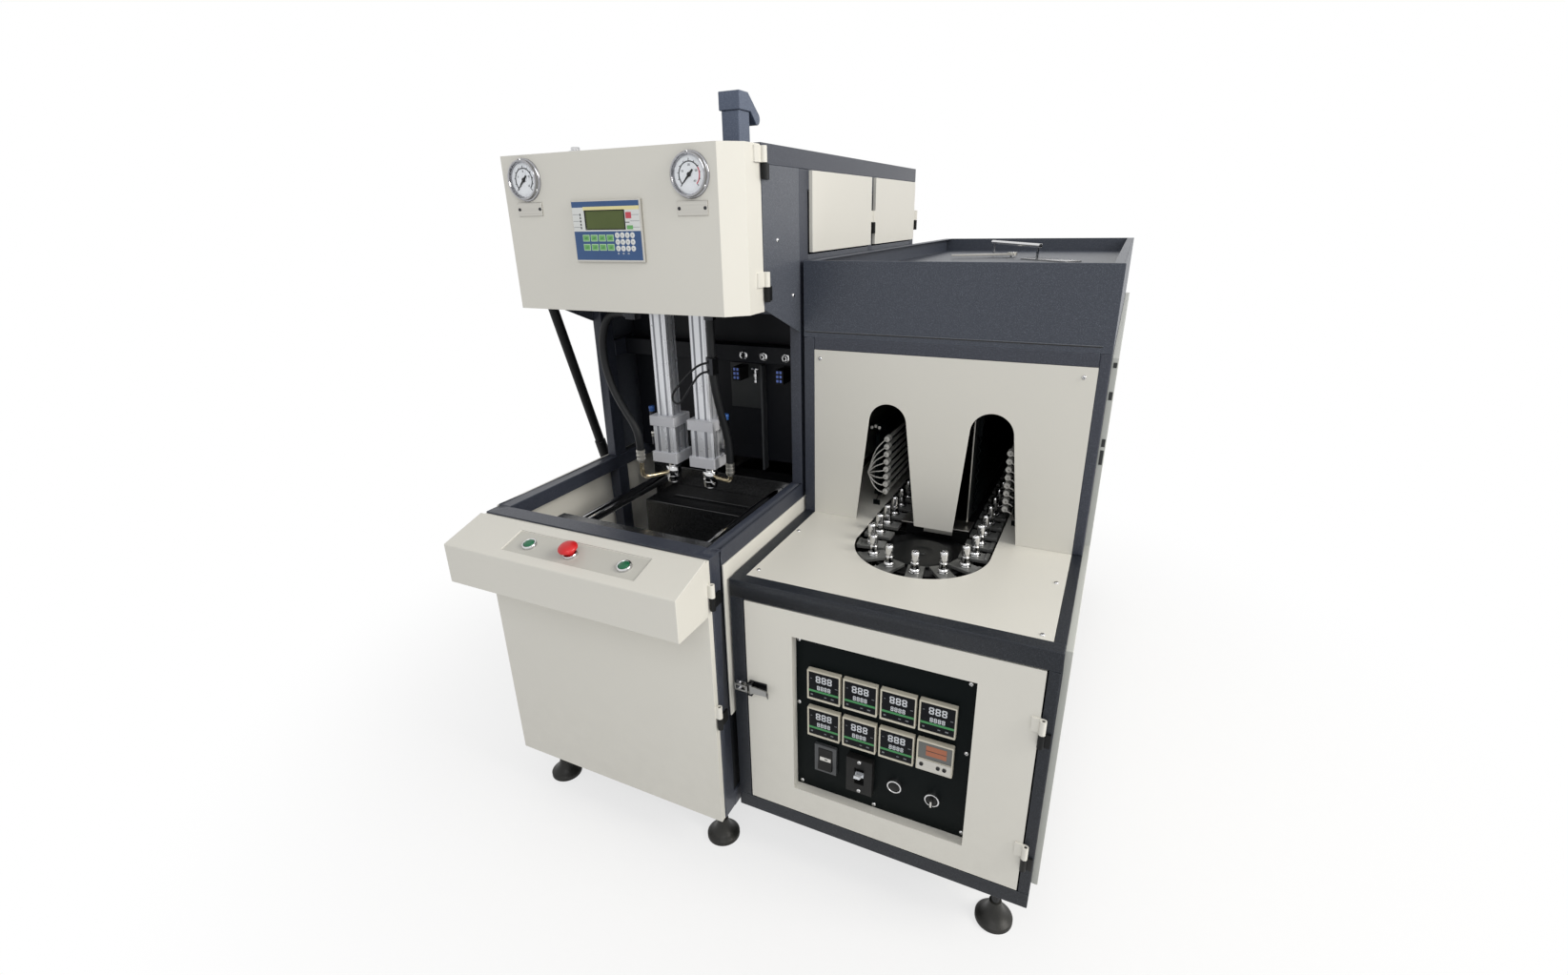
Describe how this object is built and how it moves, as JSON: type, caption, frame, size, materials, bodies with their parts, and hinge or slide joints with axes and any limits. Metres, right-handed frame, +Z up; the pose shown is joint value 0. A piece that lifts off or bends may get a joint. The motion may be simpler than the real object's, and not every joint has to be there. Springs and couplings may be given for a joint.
{
  "type": "blow moulding machine",
  "caption": "Semi-automatic blow moulding machine with a joined preform heater: mould bay with clamp platens and blow cylinders, hinged covers, chuck conveyor and lamp chamber.",
  "frame": {"origin": "on the floor under the feet, at the middle of the machine's footprint", "axes": "+Z up, +Y from the operator's side to the back, +X to the operator's right, toward the heater"},
  "size_m": [1.265, 1.818, 1.596],
  "materials": {
    "cream_panel": "satin powder coat",
    "dark_frame": "hammered powder coat",
    "black_hammer": "glossy hammered enamel",
    "anodised": "satin anodised",
    "grey_block": "matt bead blasted",
    "bright_steel": "polished",
    "machined_steel": "machined",
    "cast_black": "painted",
    "hose_rubber": "matt",
    "brass_fittings": "plated",
    "green_plastic": "gloss",
    "red_plastic": "gloss",
    "black_plastic": "satin",
    "blue_panel": "film",
    "lamp_glass": "quartz",
    "black_panel": "satin"
  },
  "bodies": {
    "root": {"air_hose_left": "hose_rubber", "air_hose_right": "hose_rubber", "blow_base_frame": "dark_frame", "blow_side_panels": "cream_panel", "blow_upper_frame": "dark_frame", "carrier_plates": "cast_black", "clamp_cylinder": "cast_black", "column_dark_panels": "dark_frame", "column_top_cover": "dark_frame", "conveyor_bed": "cast_black", "conveyor_chain": "machined_steel", "conveyor_sprockets": "machined_steel", "cylinder_blocks": "grey_block", "cylinder_tubes": "anodised", "drive_motor": "cast_black", "front_slotted_panel": "cream_panel", "heater_frame": "dark_frame", "heater_hood": "dark_frame", "heater_side_panels": "cream_panel", "hinge_lower_halves": "black_plastic", "hose_glands": "machined_steel", "infrared_lamps": "lamp_glass", "lamp_reflectors": "black_panel", "levelling_feet": "cast_black", "lifting_post": "dark_frame", "machine_screws": "bright_steel", "preform_chucks": "bright_steel", "rear_platen": "black_hammer", "sensor_cable": "hose_rubber", "side_conduit": "black_plastic", "tray_handle": "bright_steel", "work_table": "cream_panel"},
    "blow_door": {"front_door": "cream_panel", "control_bar": "cream_panel", "button_collars": "bright_steel"},
    "start_left": {"green_button_left": "green_plastic"},
    "start_right": {"green_button_right": "green_plastic"},
    "stop_button": {"emergency_stop": "red_plastic"},
    "head": {"head_cover": "cream_panel", "pressure_gauges": "bright_steel", "controller": "blue_panel"},
    "pointer_left": {"gauge_pointer_left": "black_plastic"},
    "pointer_right": {"gauge_pointer_right": "black_plastic"},
    "side_door_a": {"side_door_front": "cream_panel"},
    "side_door_b": {"side_door_rear": "cream_panel"},
    "oven_door": {"heater_door": "cream_panel", "instrument_panel": "black_panel", "panel_instruments": "black_plastic", "panel_hardware": "bright_steel"},
    "rocker": {"rocker_switch": "black_plastic"},
    "breaker": {"breaker_lever": "black_plastic"},
    "push_button": {"panel_push_button": "black_plastic"},
    "selector": {"selector_knob": "black_plastic"},
    "latch": {"latch_lever": "bright_steel"},
    "clamp": {"front_platen": "black_hammer", "tie_bars": "bright_steel"},
    "nozzles": {"blow_nozzles": "brass_fittings"},
    "rods": {"stretch_rods": "bright_steel"},
    "strap": {"tray_strap": "bright_steel"}
  },
  "joints": [
    {"name": "blow_door_swing", "type": "hinge", "parent": "root", "child": "blow_door", "pos_m": [-0.0035, -0.7975, 0.56], "axis": [0, 0, 1], "range_deg": [0, 100]},
    {"name": "start_left_press", "type": "slide", "parent": "blow_door", "child": "start_left", "axis": [0, 0.2772, -0.9608], "range_m": [0, 0.004], "stiffness_N_per_m": 600, "springref_m": -0.002},
    {"name": "start_right_press", "type": "slide", "parent": "blow_door", "child": "start_right", "axis": [0, 0.2772, -0.9608], "range_m": [0, 0.004], "stiffness_N_per_m": 600, "springref_m": -0.002},
    {"name": "stop_press", "type": "slide", "parent": "blow_door", "child": "stop_button", "axis": [0, 0.2772, -0.9608], "range_m": [0, 0.005], "stiffness_N_per_m": 800, "springref_m": -0.002},
    {"name": "head_swing", "type": "hinge", "parent": "root", "child": "head", "pos_m": [-0.0015, -0.535, 1.35], "axis": [0, 0, 1], "range_deg": [0, 100]},
    {"name": "pointer_left_turn", "type": "hinge", "parent": "head", "child": "pointer_left", "pos_m": [-0.4885, -0.637, 1.441], "axis": [0, 1, 0], "range_deg": [0, 270], "stiffness_Nm_per_rad": 0.002, "springref_deg": -11.46},
    {"name": "pointer_right_turn", "type": "hinge", "parent": "head", "child": "pointer_right", "pos_m": [-0.0995, -0.637, 1.436], "axis": [0, 1, 0], "range_deg": [0, 270], "stiffness_Nm_per_rad": 0.002, "springref_deg": -11.46},
    {"name": "side_door_a_swing", "type": "hinge", "parent": "root", "child": "side_door_a", "pos_m": [-0.0015, 0.088, 1.36], "axis": [0, 0, 1], "range_deg": [0, 100]},
    {"name": "side_door_b_swing", "type": "hinge", "parent": "root", "child": "side_door_b", "pos_m": [-0.0015, 0.488, 1.36], "axis": [0, 0, 1], "range_deg": [0, 100]},
    {"name": "oven_door_swing", "type": "hinge", "parent": "root", "child": "oven_door", "pos_m": [0.6035, -0.747, 0.41], "axis": [0, 0, 1], "range_deg": [0, 110]},
    {"name": "rocker_tip", "type": "hinge", "parent": "oven_door", "child": "rocker", "pos_m": [0.202, -0.7235, 0.318], "axis": [1, 0, 0], "range_deg": [0, 12]},
    {"name": "breaker_throw", "type": "hinge", "parent": "oven_door", "child": "breaker", "pos_m": [0.278, -0.7305, 0.31], "axis": [1, 0, 0], "range_deg": [0, 55]},
    {"name": "push_button_press", "type": "slide", "parent": "oven_door", "child": "push_button", "axis": [0, 1, 0], "range_m": [0, 0.003], "stiffness_N_per_m": 500, "springref_m": -0.002},
    {"name": "selector_turn", "type": "hinge", "parent": "oven_door", "child": "selector", "pos_m": [0.425, -0.736, 0.304], "axis": [0, 1, 0], "range_deg": [0, 60]},
    {"name": "latch_lift", "type": "hinge", "parent": "oven_door", "child": "latch", "pos_m": [0.0445, -0.75, 0.461], "axis": [0, 0, -1], "range_deg": [0, 90]},
    {"name": "clamp_close", "type": "slide", "parent": "root", "child": "clamp", "axis": [0, 1, 0], "range_m": [0, 0.15]},
    {"name": "nozzle_drop", "type": "slide", "parent": "root", "child": "nozzles", "axis": [0, 0, -1], "range_m": [0, 0.04]},
    {"name": "rod_stroke", "type": "slide", "parent": "root", "child": "rods", "axis": [0, 0, -1], "range_m": [0, 0.25]},
    {"name": "strap_turn", "type": "hinge", "parent": "root", "child": "strap", "pos_m": [0.2955, 0.52, 1.245], "axis": [0, 0, 1], "range_deg": [-60, 60]}
  ]
}
